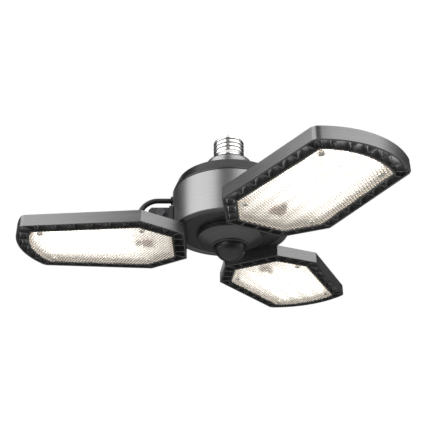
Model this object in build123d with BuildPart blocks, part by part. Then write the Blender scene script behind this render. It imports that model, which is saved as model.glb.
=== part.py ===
from build123d import *
import math
import os

os.makedirs("parts", exist_ok=True)

# A lamp of three flat panels, hinged round a drum that hangs from a screw cap.
# Sizes are millimetres. The origin is the centre of the screw shell's lower rim,
# and +Z runs up through the cap. The first panel points along -X.

# Fits and clearances
pivot_fit = 0.05
seat_fit = 0.1
loose_fit = 0.25
swing_gap = 0.5
overrun = 1

# Screw cap
shell_radius = 13.1
shell_height = 18
shell_wall = 1.7
shell_lid = 0.9
shell_crown = 1.4
shell_skirt = 3.4
thread_pitch = 3.63
thread_depth = 0.8
thread_relief = 0.3
thread_groove_radius = 1.3
insulator_height = 4.2
insulator_top_radius = 5.6
contact_radius = 5
contact_height = 2.3
contact_stem_radius = 1.2

# Heights of the stacked casings, from the screw shell down
collar_height = 12
cover_height = 21
drum_height = 33.4

# Casings
drum_radius = 46
drum_wall = 2
drum_flange_width = 5.7
cover_skirt = 0.6
cover_shoulder_inset = 3.6
cover_cone = 9.4
cover_lip = 3
collar_radius = 18.6
collar_cone = 3
collar_top_radius = 13.9
collar_spigot = 6.5
collar_stub = 5
collar_bore_radius = 5.5
collar_wall = 2.4

# Underside
plate_thickness = 2
plate_ledge = 3
sensor_cap_radius = 26
sensor_cap_wall = 2
sensor_cap_edge = 4.5
sensor_cap_cone = 5.6
bezel_radius = 14.5
bezel_width = 2
bezel_height = 1.2
dome_radius = 12.4
dome_wall = 1
dome_flange = 1.4
sensor_board_radius = 17
sensor_can_radius = 4.6
sensor_can_height = 4

# Circuit boards
board_thickness = 1.6
driver_board_margin = 6
driver_board_lift = 8

# Panels
panel_count = 3
first_azimuth = 180
panel_tuck = 11.2
panel_depth = 9.1
panel_drum_gap = 1.6
inner_half = 24.4
shoulder_reach = 30.4
shoulder_half = 46.1
tip_reach = 119
tip_half = 38.1
tip_bow = 11.2
tip_corner = 1.8
shoulder_corner = 0.8
outer_wall = 1.5
rim_width = 9.9
inner_wall = 1.4
tray_thickness = 2.3
rib_thickness = 1.4
rib_recess = 0.8
rib_pitch = 13.6
first_rib = 12.3
last_cell_run = 3.83
inner_cell_count = 4
shoulder_cell_count = 3
tip_cell_count = 6
cell_corner_radius = 1.6
fin_count = 7
fin_side_margin = 17.1
fin_thickness = 1.6
fin_height = 6
fin_gland_gap = 10.5
fin_tip_margin = 9

# Light engine
lens_thickness = 1.6
lens_wall = 1.5
lens_recess = 0.4
lens_lip = 0.8
gasket_thickness = 1
led_length = 3.5
led_width = 2.8
led_height = 0.8
led_rows = 4
led_side_margin = 19.5
led_columns = 11
led_tip_margin = 11
led_gland_gap = 4.5
connector_gap = 8
connector_length = 8
connector_width = 10
connector_height = 3

# Hinges
lug_gap = 1.3
pivot_height = 14.5
pivot_bolt_radius = 2
pivot_head_radius = 3.6
pivot_head_height = 2.2
nut_radius = 3.9
nut_height = 3.2
ear_outer = 11
ear_thickness = 2
ear_reach = 9.6
ear_rise = 5.3
ear_drop = 7.5
ear_chamfer = 2.3
bracket_base = 1.6
bracket_half = 14
washer_thickness = 0.5
washer_radius = 4.6
lug_half = 5.5
foot_thickness = 2

# Cables
cable_radius = 2.1
cable_drop = 3.8
cable_bend = 14.5
gland_gap = 12.4
grommet_wall = 0.7
grommet_flange = 1.5
grommet_lip = 1.4
gland_height = 6
gland_base_radius = 5
lead_radius = 0.9

# Fasteners
rivet_radius = 1.4
rivet_head_radius = 2.4
rivet_head_height = 1.2
screw_radius = 1.5
screw_length = 7
screw_head_radius = 2.8
screw_head_height = 1.8
small_screw_radius = 1.1
small_screw_head_radius = 2.1
small_screw_head_height = 1.1
slot_width = 0.7
slot_depth = 0.6

# Distances from the axis
cover_shoulder_radius = drum_radius - cover_shoulder_inset
driver_board_radius = drum_radius - drum_wall - driver_board_margin
panel_inset_radius = drum_radius - panel_tuck
pivot_radius = drum_radius + bracket_base + lug_gap + lug_half
cable_reach = pivot_radius + lug_half + gland_gap

# Levels along the axis
collar_base = -collar_height
drum_top = collar_base - cover_height
drum_base = drum_top - drum_height
plate_top = drum_base + 2 * plate_thickness
panel_back = drum_base - panel_drum_gap
panel_face = panel_back - panel_depth
pivot_level = panel_back + pivot_height
cable_level = drum_top - cable_drop
driver_board_base = plate_top + driver_board_lift
driver_board_top = driver_board_base + board_thickness
cap_edge_level = drum_base - sensor_cap_edge
cap_face = cap_edge_level - sensor_cap_cone
cover_top = collar_base


def turn(*points, mode=Mode.ADD):
    """Turned form about Z: points give radius and height."""
    with BuildSketch(Plane.XZ) as section:
        with BuildLine():
            Polyline(*points, close=True)
        make_face()
    revolve(section.sketch, axis=Axis.Z, mode=mode)


def post(plane, radius, height, mode=Mode.ADD):
    """Round bar that stands on a plane, or hangs from it if height is negative."""
    with BuildSketch(plane) as section:
        Circle(radius)
    extrude(section.sketch, amount=height, mode=mode)


def block(plane, length, width, height, mode=Mode.ADD):
    """Rectangular bar centred on a plane's origin."""
    with BuildSketch(plane) as section:
        Rectangle(length, width)
    extrude(section.sketch, amount=height, mode=mode)


def slotted_screw(seat, shank, length, head, head_height):
    """Screw whose head sits on a plane, with the shank running below it."""
    post(seat, head, head_height)
    post(seat, shank, -length)
    block(seat.offset(head_height), 2 * head - slot_width, slot_width, -slot_depth, Mode.SUBTRACT)
    block(seat.offset(head_height), slot_width, 2 * head - slot_width, -slot_depth, Mode.SUBTRACT)


def wire(radius, points, bends):
    """Round wire along straight runs joined by tangent arcs."""
    with BuildLine() as route:
        FilletPolyline(*points, radius=bends)
    start = Plane(origin=route.line @ 0, z_dir=route.line % 0)
    with BuildSketch(start) as section:
        Circle(radius)
    sweep(section.sketch, path=route.line)


def finish(builder, name):
    """Label one finished piece and write it as a STEP file."""
    builder.part.label = name
    export_step(builder.part, f"parts/{name}.step")


def outward(k):
    """Horizontal direction in which panel k points."""
    angle = math.radians(first_azimuth + k * 360 / panel_count)
    return Vector(math.cos(angle), math.sin(angle), 0)


def across(k):
    """Horizontal direction along panel k's hinge, to the left of outward."""
    return Vector(0, 0, 1).cross(outward(k))


def level(k, reach, height, side=0):
    """Horizontal plane at a distance from the axis on panel k's line."""
    point = outward(k) * reach + across(k) * side + Vector(0, 0, height)
    return Plane(origin=point, x_dir=outward(k), z_dir=(0, 0, 1))


def upright(k, side=0):
    """Vertical plane through the axis along panel k: x is outward and y is up."""
    return Plane(origin=across(k) * side, x_dir=outward(k), z_dir=across(k) * -1)


def facing(k, reach, height, side=0):
    """Vertical plane square to panel k's line, facing outward."""
    point = outward(k) * reach + across(k) * side + Vector(0, 0, height)
    return Plane(origin=point, x_dir=across(k), z_dir=outward(k))


# Screw shell: a pressed metal cup with a plain skirt, and a round thread just inside its radius
shell_bore = shell_radius - shell_wall
lid_bore = shell_bore - shell_crown
thread_radius = shell_radius - thread_relief
groove_start = shell_skirt + thread_pitch / 2
groove_path_radius = thread_radius + thread_groove_radius - thread_depth

with BuildPart() as screw_shell:
    turn(
        (shell_bore, 0),
        (shell_radius, 0),
        (shell_radius, shell_skirt),
        (thread_radius, shell_skirt),
        (thread_radius, shell_height - shell_crown),
        (thread_radius - shell_crown, shell_height),
        (lid_bore, shell_height),
        (lid_bore, shell_height - shell_lid),
        (shell_bore, shell_height - shell_lid),
    )
    with BuildLine() as thread:
        Helix(thread_pitch, shell_height - groove_start, groove_path_radius, center=(0, 0, groove_start))
    with BuildSketch(Plane(origin=thread.line @ 0, z_dir=thread.line % 0)) as groove:
        Circle(thread_groove_radius)
    sweep(groove.sketch, path=thread.line, is_frenet=True, mode=Mode.SUBTRACT)
finish(screw_shell, "screw_shell")

# Insulator: a moulded disc under the shell's lid with a cone that stands through it
insulator_radius = shell_bore - seat_fit
insulator_neck = lid_bore - seat_fit
insulator_ledge = shell_height - shell_lid
insulator_base = insulator_ledge - 2 * shell_lid
insulator_top = shell_height + insulator_height
contact_hole = contact_stem_radius + seat_fit

with BuildPart() as cap_insulator:
    turn(
        (contact_hole, insulator_base),
        (insulator_radius, insulator_base),
        (insulator_radius, insulator_ledge),
        (insulator_neck, insulator_ledge),
        (insulator_neck, shell_height),
        (insulator_top_radius, insulator_top),
        (contact_hole, insulator_top),
    )
finish(cap_insulator, "cap_insulator")

# Centre contact: a crowned rivet whose stem runs down through the insulator
with BuildPart() as centre_contact:
    turn(
        (0, insulator_base),
        (contact_stem_radius, insulator_base),
        (contact_stem_radius, insulator_top),
        (contact_radius, insulator_top),
        (contact_radius, insulator_top + contact_height / 2),
        (contact_radius / 2, insulator_top + contact_height),
        (0, insulator_top + contact_height),
    )
finish(centre_contact, "centre_contact")

# Collar: a turned neck that carries the shell and plugs into the cover
spigot_radius = shell_bore - seat_fit
stub_radius = collar_radius - collar_wall
stub_base = collar_base - collar_stub

with BuildPart() as cap_collar:
    turn(
        (collar_bore_radius, stub_base),
        (stub_radius, stub_base),
        (stub_radius, collar_base),
        (collar_radius, collar_base),
        (collar_radius, -collar_cone),
        (collar_top_radius, 0),
        (spigot_radius, 0),
        (spigot_radius, collar_spigot),
        (collar_bore_radius, collar_spigot),
    )
finish(cap_collar, "cap_collar")

# Places shared by the cables' grommets, the drum and the cover
grommet_bore = cable_radius + seat_fit
grommet_neck = grommet_bore + grommet_wall
grommet_hole = grommet_neck + seat_fit
grommet_radius = cable_radius + grommet_flange

# Upper cover: a spun dish that closes the drum, with a lip that plugs into it
cover_hole = stub_radius + seat_fit
cover_inner = drum_radius - drum_wall
lip_radius = cover_inner - seat_fit
lip_inner = lip_radius - drum_wall
cover_knee = drum_top + cover_skirt
cover_shoulder = cover_knee + cover_cone
cover_slope_inner = cover_shoulder_radius - drum_wall
cover_top_inner = collar_radius - drum_wall / 2

with BuildPart() as upper_cover:
    turn(
        (drum_radius, drum_top),
        (drum_radius, cover_knee),
        (cover_shoulder_radius, cover_shoulder),
        (collar_radius, cover_top),
        (cover_hole, cover_top),
        (cover_hole, cover_top - drum_wall),
        (cover_top_inner, cover_top - drum_wall),
        (cover_slope_inner, cover_shoulder - drum_wall),
        (lip_inner, cover_knee - drum_wall / 2),
        (lip_inner, drum_top - cover_lip),
        (lip_radius, drum_top - cover_lip),
        (lip_radius, drum_top),
    )
    for k in range(panel_count):
        notch = facing(k, lip_inner - drum_wall, cable_level)
        post(notch, grommet_radius + loose_fit, cover_inner - lip_inner + drum_wall, Mode.SUBTRACT)
finish(upper_cover, "upper_cover")

# Drum: a turned can with an inward flange below, and holes for cables and bracket rivets
flange_bore = drum_radius - drum_flange_width
ear_inner = ear_outer - ear_thickness
rivet_level = pivot_level - ear_drop / 2
rivet_side = ear_inner - rivet_head_radius
rivet_hole = rivet_radius + seat_fit
screw_hole = screw_radius + seat_fit

with BuildPart() as drum_housing:
    turn(
        (flange_bore, drum_base),
        (drum_radius, drum_base),
        (drum_radius, drum_top),
        (cover_inner, drum_top),
        (cover_inner, drum_base + plate_thickness),
        (flange_bore, drum_base + plate_thickness),
    )
    for k in range(panel_count):
        post(facing(k, 0, cable_level), grommet_hole, drum_radius + overrun, Mode.SUBTRACT)
        for side in (-rivet_side, rivet_side):
            hole = facing(k, 0, rivet_level, side)
            post(hole, rivet_hole, drum_radius + overrun, Mode.SUBTRACT)
finish(drum_housing, "drum_housing")

# Bottom plate: a stepped disc that fills the flange from inside, with a ring for the cap
plate_radius = flange_bore - loose_fit
ledge_radius = flange_bore + plate_ledge
cap_inner_radius = sensor_cap_radius - sensor_cap_wall
ring_radius = cap_inner_radius - seat_fit
ring_drop = sensor_cap_edge / 2
pillar_circle = ring_radius - sensor_cap_wall / 2 - screw_head_radius

with BuildPart() as bottom_plate:
    turn(
        (0, drum_base),
        (plate_radius, drum_base),
        (plate_radius, drum_base + plate_thickness),
        (ledge_radius, drum_base + plate_thickness),
        (ledge_radius, plate_top),
        (0, plate_top),
    )
    turn(
        (ring_radius - sensor_cap_wall / 2, drum_base),
        (ring_radius - sensor_cap_wall / 2, drum_base - ring_drop),
        (ring_radius, drum_base - ring_drop),
        (ring_radius, drum_base),
    )
    for k in range(panel_count):
        post(level(k, -pillar_circle, drum_base), screw_hole, 2 * plate_thickness, Mode.SUBTRACT)
finish(bottom_plate, "bottom_plate")

# Sensor cap: a shallow moulded dish under the plate, open in the middle for the dome
dome_seat_radius = dome_radius + dome_flange
dome_hole = dome_radius + seat_fit
cap_inner_edge = cap_edge_level
cap_inner_face = cap_face + sensor_cap_wall

with BuildPart() as sensor_cap:
    turn(
        (sensor_cap_radius, drum_base),
        (sensor_cap_radius, cap_edge_level),
        (bezel_radius, cap_face),
        (dome_hole, cap_face),
        (dome_hole, cap_inner_face),
        (bezel_radius, cap_inner_face),
        (cap_inner_radius, cap_inner_edge),
        (cap_inner_radius, drum_base),
    )
finish(sensor_cap, "sensor_cap")

# Sensor bezel: a slim ring round the root of the dome
bezel_face = cap_face - bezel_height
bezel_bore = bezel_radius - bezel_width

with BuildPart() as sensor_bezel:
    turn(
        (bezel_bore, cap_face),
        (bezel_bore, bezel_face + bezel_height / 3),
        (bezel_bore + bezel_width / 3, bezel_face),
        (bezel_radius - bezel_width / 3, bezel_face),
        (bezel_radius, bezel_face + bezel_height / 3),
        (bezel_radius, cap_face),
    )
finish(sensor_bezel, "sensor_bezel")

# Sensor dome: a thin moulded half sphere with a flange that rests inside the cap
dome_centre = cap_face - bezel_height / 2
dome_inner = dome_radius - dome_wall
dome_bottom = dome_centre - dome_radius
flange_top = cap_inner_face + dome_wall
half_share = math.sqrt(0.5)

with BuildPart() as sensor_dome:
    with BuildSketch(Plane.XZ) as section:
        with BuildLine():
            ThreePointArc(
                (0, dome_bottom),
                (dome_radius * half_share, dome_centre - dome_radius * half_share),
                (dome_radius, dome_centre),
            )
            Polyline(
                (dome_radius, dome_centre),
                (dome_radius, cap_inner_face),
                (dome_seat_radius, cap_inner_face),
                (dome_seat_radius, flange_top),
                (dome_inner, flange_top),
                (dome_inner, dome_centre),
            )
            ThreePointArc(
                (dome_inner, dome_centre),
                (dome_inner * half_share, dome_centre - dome_inner * half_share),
                (0, dome_bottom + dome_wall),
            )
            Line((0, dome_bottom + dome_wall), (0, dome_bottom))
        make_face()
    revolve(axis=Axis.Z)
finish(sensor_dome, "sensor_dome")

# Sensor board: a small disc that presses the dome's flange down
with BuildPart() as sensor_board:
    post(Plane.XY.offset(flange_top), sensor_board_radius, board_thickness)
finish(sensor_board, "sensor_board")

# Sensor element: a metal can with a rim, soldered under its board
can_rim = sensor_can_height / 5

with BuildPart() as sensor_element:
    post(Plane.XY.offset(flange_top), sensor_can_radius, -can_rim)
    post(Plane.XY.offset(flange_top), sensor_can_radius - can_rim, -sensor_can_height)
finish(sensor_element, "sensor_element")

# Driver pillars: shouldered rods from the plate, through the driver board, to the cover
pillar_radius = 3.2
pillar_rod_radius = 2.2
pillar_slope_share = (pillar_circle + pillar_rod_radius - cover_top_inner) / (
    cover_slope_inner - cover_top_inner
)
cover_roof_fall = (cover_top - cover_shoulder) * pillar_slope_share
pillar_top = cover_top - drum_wall - cover_roof_fall - seat_fit
screw_bite = screw_length - 2 * plate_thickness

with BuildPart() as driver_pillars:
    for k in range(panel_count):
        post(level(k, -pillar_circle, plate_top), pillar_radius, driver_board_lift)
        post(level(k, -pillar_circle, plate_top), pillar_rod_radius, pillar_top - plate_top)
        post(level(k, -pillar_circle, plate_top), screw_hole, screw_bite + seat_fit, Mode.SUBTRACT)
finish(driver_pillars, "driver_pillars")

# Driver board: a round board threaded over the pillars, with notches for the rods
with BuildPart() as driver_board:
    post(Plane.XY.offset(driver_board_base), driver_board_radius, board_thickness)
    for k in range(panel_count):
        hole = level(k, -pillar_circle, driver_board_base)
        post(hole, pillar_rod_radius + seat_fit, board_thickness, Mode.SUBTRACT)
finish(driver_board, "driver_board")

# Transformer: a wound coil between two ferrite blocks, in the middle of the board
transformer_length = 20
transformer_width = 15
transformer_height = 16
coil_share = 0.6

with BuildPart() as driver_transformer:
    top = Plane.XY.offset(driver_board_top)
    block(top, transformer_length, transformer_width * coil_share, transformer_height)
    block(top, transformer_length * coil_share, transformer_width, transformer_height * coil_share)
    post(
        Plane.XY.offset(driver_board_top + transformer_height / 2),
        transformer_width * coil_share,
        transformer_height * (1 - coil_share) / 2,
    )
finish(driver_transformer, "driver_transformer")

# Capacitors: two round cans that stand on the board
capacitor_radius = 5
capacitor_height = 18
capacitor_inset = 13
capacitor_circle = driver_board_radius - capacitor_inset
capacitor_angles = (25, 65)

with BuildPart() as driver_capacitors:
    for angle in capacitor_angles:
        with BuildSketch(Plane.XY.offset(driver_board_top)):
            with PolarLocations(capacitor_circle, 1, start_angle=angle):
                Circle(capacitor_radius)
        extrude(amount=capacitor_height)
finish(driver_capacitors, "driver_capacitors")

# Driver parts: choke, rectifier block and switch on its cooling plate
part_inset = 12
part_circle = driver_board_radius - part_inset
choke_angle = 158
rectifier_angle = 205
switch_angle = 320
choke_radius = 5.5
choke_height = 9
rectifier_length = 11
rectifier_width = 8
rectifier_height = 6
switch_plate_length = 18
switch_plate_width = 2
switch_plate_height = 16

with BuildPart() as driver_parts:
    with BuildSketch(Plane.XY.offset(driver_board_top)):
        with PolarLocations(part_circle, 1, start_angle=choke_angle):
            Circle(choke_radius)
    extrude(amount=choke_height)
    with BuildSketch(Plane.XY.offset(driver_board_top)):
        with PolarLocations(part_circle, 1, start_angle=rectifier_angle):
            Rectangle(rectifier_width, rectifier_length)
    extrude(amount=rectifier_height)
    with BuildSketch(Plane.XY.offset(driver_board_top)):
        with PolarLocations(part_circle, 1, start_angle=switch_angle):
            Rectangle(switch_plate_width, switch_plate_length)
    extrude(amount=switch_plate_height)
finish(driver_parts, "driver_parts")

# Plate screws: they run up through the bottom plate into the pillars
with BuildPart() as plate_screws:
    for k in range(panel_count):
        under = Plane(origin=outward(k) * -pillar_circle + Vector(0, 0, drum_base), z_dir=(0, 0, -1))
        slotted_screw(under, screw_radius, screw_length, screw_head_radius, screw_head_height)
finish(plate_screws, "plate_screws")

# Inner leads: from the driver board to the shell and the contact, and to each panel cable
lead_side = 3
lead_start = transformer_width
lead_rise = stub_base - lead_start / 2
output_lead_radius = 1.2
output_lead_bend = 5
output_lead_inset = 2.5
output_lead_reach = driver_board_radius - output_lead_inset
lead_bend = 4
grommet_tail = cover_inner - grommet_lip
shell_lead_level = (collar_spigot + insulator_base) / 2

with BuildPart() as inner_leads:
    contact_route = [
        (0, lead_start, driver_board_top),
        (0, lead_start, lead_rise - lead_start),
        (0, 0, lead_rise),
        (0, 0, insulator_base),
    ]
    wire(lead_radius, contact_route, lead_bend)
    shell_route = [
        (0, -lead_start, driver_board_top),
        (0, -lead_start, lead_rise - lead_start),
        (0, -lead_side, lead_rise - lead_side),
        (0, -lead_side, shell_lead_level),
        (0, -spigot_radius, shell_lead_level),
    ]
    wire(lead_radius, shell_route, lead_bend)
    for k in range(panel_count):
        start = outward(k) * grommet_tail + Vector(0, 0, cable_level)
        corner = outward(k) * output_lead_reach + Vector(0, 0, cable_level)
        end = outward(k) * output_lead_reach + Vector(0, 0, driver_board_top)
        wire(output_lead_radius, [start, corner, end], output_lead_bend)
finish(inner_leads, "inner_leads")

# Grommets: rubber bushes in the drum's cable holes, with a flange on each side
grommet_face = drum_radius + grommet_lip

with BuildPart() as cable_grommets:
    for k in range(panel_count):
        tail = facing(k, grommet_tail, cable_level)
        post(tail, grommet_neck, grommet_face - grommet_tail)
        post(tail, grommet_radius, grommet_lip / 2)
        post(facing(k, drum_radius, cable_level), grommet_radius, grommet_lip)
        post(tail, grommet_bore, grommet_face - grommet_tail, Mode.SUBTRACT)
finish(cable_grommets, "cable_grommets")

# Panel cables: from inside each grommet, out over the hinge and down to the panel's gland
gland_top = panel_back + gland_height

for k in range(panel_count):
    with BuildPart() as panel_cable:
        points = [
            outward(k) * grommet_tail + Vector(0, 0, cable_level),
            outward(k) * cable_reach + Vector(0, 0, cable_level),
            outward(k) * cable_reach + Vector(0, 0, gland_top),
        ]
        wire(cable_radius, points, cable_bend)
    finish(panel_cable, f"panel_cable_{k + 1}")
cable_straights = cable_reach - grommet_tail + cable_level - gland_top - 2 * cable_bend
print("cable length", cable_straights + cable_bend * math.pi / 2, "bend", cable_bend)

# Hinge brackets: a base on the drum with two chamfered ears, and rivets set inside the drum
bracket_face = drum_radius + bracket_base
rivet_seat = math.sqrt(cover_inner**2 - (rivet_side + rivet_head_radius) ** 2)
ear_top = pivot_level + ear_rise
ear_bottom = pivot_level - ear_drop
ear_end = pivot_radius + ear_reach
pivot_hole = pivot_bolt_radius + pivot_fit

for k in range(panel_count):
    with BuildPart() as hinge_bracket:
        with BuildSketch(upright(k)) as base:
            with Locations((drum_radius, (ear_top + ear_bottom) / 2)):
                Rectangle(2 * bracket_base, ear_top - ear_bottom)
        extrude(base.sketch, amount=bracket_half, both=True)
        with BuildSketch(upright(k)) as ear:
            with BuildLine():
                Polyline(
                    (drum_radius, ear_bottom),
                    (ear_end, ear_bottom),
                    (ear_end, ear_top - ear_chamfer),
                    (ear_end - ear_chamfer, ear_top),
                    (drum_radius, ear_top),
                    close=True,
                )
            make_face()
        extrude(ear.sketch, amount=ear_outer, both=True)
        with BuildSketch(upright(k)) as mouth:
            with Locations((bracket_face + ear_end / 2, pivot_level)):
                Rectangle(ear_end, 2 * ear_end)
        extrude(mouth.sketch, amount=ear_inner, both=True, mode=Mode.SUBTRACT)
        with BuildSketch(upright(k)) as eye:
            with Locations((pivot_radius, pivot_level)):
                Circle(pivot_hole)
        extrude(eye.sketch, amount=ear_outer, both=True, mode=Mode.SUBTRACT)
        with BuildSketch(Plane.XY.offset(ear_bottom)) as bed:
            Circle(drum_radius + pivot_fit)
        extrude(bed.sketch, amount=ear_top - ear_bottom, mode=Mode.SUBTRACT)
        for side in (-rivet_side, rivet_side):
            tail = facing(k, rivet_seat, rivet_level, side)
            post(tail, rivet_radius, bracket_face - rivet_seat)
            post(tail, rivet_head_radius, -rivet_head_height)
    finish(hinge_bracket, f"hinge_bracket_{k + 1}")

# Pivot bolts, friction washers and nuts
bolt_length = 2 * ear_outer + nut_height

with BuildPart() as pivot_bolts:
    for k in range(panel_count):
        seat = Plane(
            origin=outward(k) * pivot_radius + across(k) * -ear_outer + Vector(0, 0, pivot_level),
            x_dir=outward(k),
            z_dir=across(k) * -1,
        )
        slotted_screw(seat, pivot_bolt_radius, bolt_length, pivot_head_radius, pivot_head_height)
finish(pivot_bolts, "pivot_bolts")

with BuildPart() as pivot_nuts:
    for k in range(panel_count):
        with BuildSketch(upright(k, ear_outer)) as nut:
            with Locations((pivot_radius, pivot_level)):
                RegularPolygon(nut_radius, 6)
                Circle(pivot_hole, mode=Mode.SUBTRACT)
        extrude(nut.sketch, amount=-nut_height)
finish(pivot_nuts, "pivot_nuts")

with BuildPart() as pivot_washers:
    for k in range(panel_count):
        for side in (washer_thickness - ear_inner, ear_inner):
            with BuildSketch(upright(k, side)) as washer:
                with Locations((pivot_radius, pivot_level)):
                    Circle(washer_radius)
                    Circle(pivot_hole, mode=Mode.SUBTRACT)
            extrude(washer.sketch, amount=washer_thickness)
finish(pivot_washers, "pivot_washers")

# Panel outline: a straight inner edge, flared shoulders, tapering flanks and a bowed tip
flank = [(0, inner_half), (shoulder_reach, shoulder_half), (tip_reach, tip_half)]
far_flank = [(reach, -half) for reach, half in reversed(flank)]
tip_radius = (tip_half**2 + tip_bow**2) / (2 * tip_bow)
tip_centre = tip_reach + tip_bow - tip_radius


def outline(inset):
    """Panel outline drawn in from its edge by inset, lying on the XY plane."""
    with BuildSketch() as shape:
        with BuildLine() as edge:
            Polyline(*flank)
            ThreePointArc(flank[-1], (tip_reach + tip_bow, 0), far_flank[0])
            Polyline(*far_flank, flank[0])
        make_face(edge.line)
        if inset:
            offset(amount=-inset, kind=Kind.INTERSECTION)
    return shape.sketch


def between(start, end, share):
    """Point and direction in degrees at a share of the way from start to end."""
    run = Vector(*end) - Vector(*start)
    return Vector(*start) + run * share, math.degrees(math.atan2(run.Y, run.X))


def inner_corner(corner):
    """Corner of the tray opening that lies nearest to a corner of the outline."""
    near = min(outline(rim_width).vertices(), key=lambda v: (Vector(v.X, v.Y) - Vector(*corner)).length)
    return Vector(near.X, near.Y)


def rib_places():
    """Places on the outline's edge, with the angle in which each rib crosses the rim."""
    places = []
    flank_run = Vector(*flank[2]) - Vector(*flank[1])
    flank_length = flank_run.length
    corner_run = (Vector(*flank[2]) - inner_corner(flank[2])).dot(flank_run.normalized())
    ribbed_length = flank_length - first_rib - corner_run - last_cell_run
    full_cells = round(ribbed_length / rib_pitch)
    for i in range(full_cells + 1):
        reach = first_rib + ribbed_length * i / full_cells
        spot, angle = between(flank[1], flank[2], reach / flank_length)
        places.append((spot, angle + 90))
        places.append((Vector(spot.X, -spot.Y), 90 - angle))
    for i in range(1, shoulder_cell_count):
        spot, angle = between(flank[0], flank[1], i / shoulder_cell_count)
        places.append((spot, angle + 90))
        places.append((Vector(spot.X, -spot.Y), 90 - angle))
    for i in range(1, inner_cell_count):
        spot, angle = between(flank[0], far_flank[-1], i / inner_cell_count)
        places.append((spot, 0))
    tip_angle = math.degrees(math.asin(tip_half / tip_radius))
    for i in range(1, tip_cell_count):
        angle = tip_angle * (2 * i / tip_cell_count - 1)
        spot = Vector(tip_radius, 0).rotate(Axis.Z, angle) + Vector(tip_centre, 0)
        places.append((spot, angle))
    return places


def corner_places():
    """The outline's corners, with the angle of the line that halves each."""
    places = []
    for corner in flank + far_flank:
        run = inner_corner(corner) - Vector(*corner)
        places.append((Vector(*corner), math.degrees(math.atan2(run.Y, run.X))))
    return places


# Cooling cells of the rim: slots with round corners between the outer and the inner wall
cell_outer = outline(outer_wall)
cell_inner = outline(rim_width - inner_wall)
tray_opening = outline(rim_width)
full_outline = outline(0)

with BuildSketch() as rim_cells:
    add(cell_outer)
    add(cell_inner, mode=Mode.SUBTRACT)
    for spot, angle in rib_places():
        with Locations(Location((spot.X, spot.Y, 0), (0, 0, angle))):
            Rectangle(2 * rim_width, rib_thickness, mode=Mode.SUBTRACT)
    for spot, angle in corner_places():
        with Locations(Location((spot.X, spot.Y, 0), (0, 0, angle))):
            Rectangle(4 * rim_width, rib_thickness, mode=Mode.SUBTRACT)
    fillet(rim_cells.vertices(), cell_corner_radius)

with BuildSketch() as rim_band:
    add(cell_outer)
    add(cell_inner, mode=Mode.SUBTRACT)

with BuildSketch() as lip_band:
    add(cell_inner)
    add(tray_opening, mode=Mode.SUBTRACT)

# Places on a panel that several of its pieces share
shoulder_screw_share = 0.78
tip_screw_share = 0.85
lens_screw_places = [
    (reach, side * half)
    for reach, half in (
        (shoulder_reach + small_screw_radius, (shoulder_half - rim_width) * shoulder_screw_share),
        (tip_reach - rim_width - small_screw_radius, (tip_half - rim_width) * tip_screw_share),
    )
    for side in (-1, 1)
]
small_hole = small_screw_radius + pivot_fit
gland_reach = cable_reach - panel_inset_radius
gland_stem_radius = cable_radius + seat_fit
lug_middle = pivot_radius - panel_inset_radius
foot_inner = drum_radius + swing_gap - panel_inset_radius
heel_top = ear_bottom - seat_fit
foot_end = gland_reach - gland_base_radius - swing_gap
foot_half = ear_inner - washer_thickness - pivot_fit
foot_screw_reach = (lug_middle + lug_half + foot_end) / 2
foot_screw_side = foot_half - small_screw_head_radius - loose_fit
foot_screws = [(foot_screw_reach, -foot_screw_side), (foot_screw_reach, foot_screw_side)]
foot_screw_length = foot_thickness + tray_thickness - pivot_fit
fin_start = gland_reach + fin_gland_gap
fin_length = tip_reach - fin_tip_margin - fin_start
fin_pitch = 2 * (tip_half - fin_side_margin) / (fin_count - 1)
led_start = gland_reach + led_gland_gap
led_pitch = (tip_reach - led_tip_margin - led_start) / (led_columns - 1)
led_row_pitch = 2 * (tip_half - led_side_margin) / (led_rows - 1)
connector_reach = gland_reach - connector_gap

# Levels in a panel, from the lens up: gasket, boards and tray
lens_face = panel_face - lens_lip + lens_recess
lens_inside = lens_face + lens_thickness
tray_under = panel_back - tray_thickness
board_under = tray_under - board_thickness
lens_edge = rim_width + loose_fit
lens_inner_edge = lens_edge + lens_wall
board_edge = lens_inner_edge + loose_fit
lens_pillar_radius = small_screw_radius + lens_wall
lens_outline = outline(lens_edge)
lens_hollow = outline(lens_inner_edge)
board_outline = outline(board_edge)

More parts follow.
